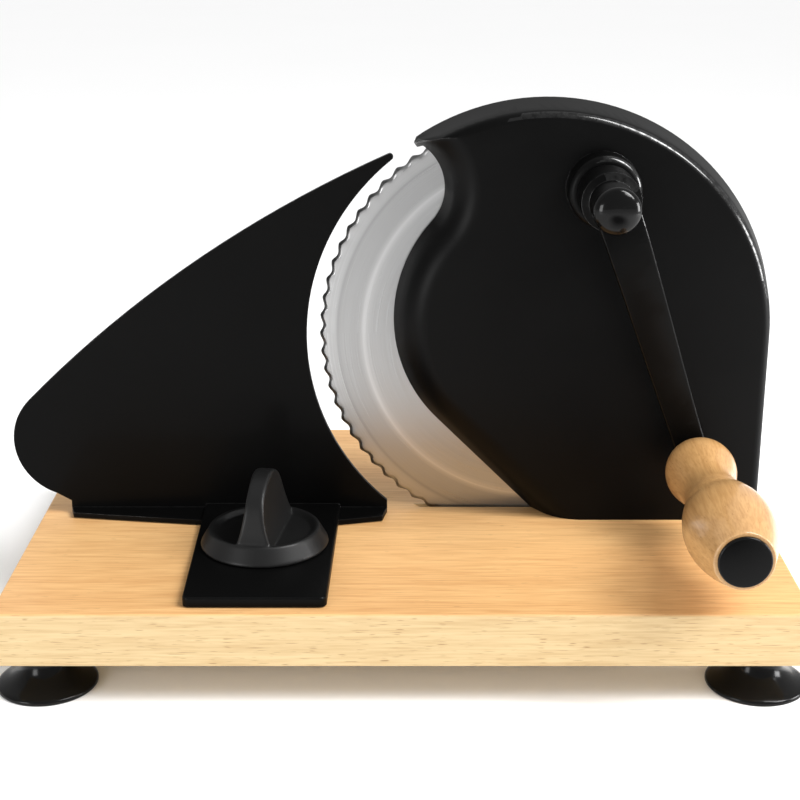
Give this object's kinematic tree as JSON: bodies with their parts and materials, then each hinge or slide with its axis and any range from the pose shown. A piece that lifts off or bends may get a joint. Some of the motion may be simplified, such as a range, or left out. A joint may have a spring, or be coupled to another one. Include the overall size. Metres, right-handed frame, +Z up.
{
  "type": "hand cranked bread slicer",
  "caption": "Hand cranked bread slicer with a toothed round blade in a black housing, a sliding thickness fence, a wooden crank handle and a wooden board on suction feet.",
  "frame": {"origin": "on the ground plane, at the middle of the whole object's length and depth", "axes": "+Z up, +X from the fence to the housing along the board, -Y towards the crank handle and the person turning it"},
  "size_m": [0.3558, 0.25, 0.2366],
  "materials": {
    "beech": "oiled beech",
    "handle_wood": "turned beech, lacquered",
    "rubber": "black suction rubber",
    "housing_black": "moulded, satin gloss",
    "fence_black": "black powder coat",
    "crank_black": "black gloss coat",
    "knob_grey": "moulded, matte",
    "cap_black": "gloss",
    "blade_steel": "turned and brushed",
    "plate_steel": "zinc plated",
    "fastener_steel": "zinc plated",
    "bronze": "sintered bronze",
    "gear_white": "moulded acetal"
  },
  "bodies": {
    "base": {"base_board": "beech", "suction_foot_front_left": "rubber", "suction_foot_front_right": "rubber", "suction_foot_back_left": "rubber", "suction_foot_back_right": "rubber", "foot_screws": "fastener_steel", "foot_washers": "fastener_steel", "housing_shell": "housing_black", "bearing_plate": "plate_steel", "plate_screws": "fastener_steel", "housing_screws": "fastener_steel", "housing_washers": "fastener_steel", "crank_front_bush": "bronze", "crank_rear_bush": "bronze", "blade_front_bush": "bronze", "blade_rear_bush": "bronze", "idler_pin": "fastener_steel", "clamp_bolt": "fastener_steel"},
    "crank": {"crank_shaft": "fastener_steel", "crank_gear": "gear_white", "crank_arm": "crank_black", "crank_screw": "fastener_steel", "crank_washer": "fastener_steel", "crank_cap": "cap_black", "handle_spindle": "fastener_steel", "spindle_nut": "fastener_steel"},
    "handle": {"handle_grip": "handle_wood", "handle_end_cap": "cap_black"},
    "idler": {"idler_gear": "gear_white"},
    "blade": {"blade": "blade_steel", "blade_shaft": "fastener_steel", "blade_gear": "gear_white", "blade_drive_pins": "fastener_steel", "blade_clamp_disc": "blade_steel", "blade_screw": "fastener_steel"},
    "fence": {"fence_plate": "fence_black", "guide_keys": "fastener_steel"},
    "knob": {"fence_knob": "knob_grey", "knob_insert": "bronze"}
  },
  "joints": [
    {"name": "crank_spin", "type": "hinge", "parent": "base", "child": "crank", "pos_m": [0.09199, 0, 0.2001], "axis": [0, -1, 0], "continuous": true},
    {"name": "handle_spin", "type": "hinge", "parent": "crank", "child": "handle", "pos_m": [0.13811, 0, 0.07609], "axis": [0, -1, 0], "continuous": true},
    {"name": "idler_spin", "type": "hinge", "parent": "base", "child": "idler", "pos_m": [0.09962, 0, 0.16185], "axis": [0, -1, 0], "continuous": true},
    {"name": "blade_spin", "type": "hinge", "parent": "base", "child": "blade", "pos_m": [0.0665, 0, 0.1285], "axis": [0, -1, 0], "continuous": true},
    {"name": "fence_slide", "type": "slide", "parent": "base", "child": "fence", "axis": [0, 1, 0], "range_m": [-0.0105, 0.0075]},
    {"name": "knob_turn", "type": "hinge", "parent": "base", "child": "knob", "pos_m": [-0.0572, -0.0382, 0.05], "axis": [0, 0, 1], "range_deg": [0, 270]}
  ],
  "couplings": [
    {"joint": "idler_spin", "follows": "crank_spin", "ratio": -1.2941},
    {"joint": "blade_spin", "follows": "crank_spin", "ratio": 0.73333}
  ]
}
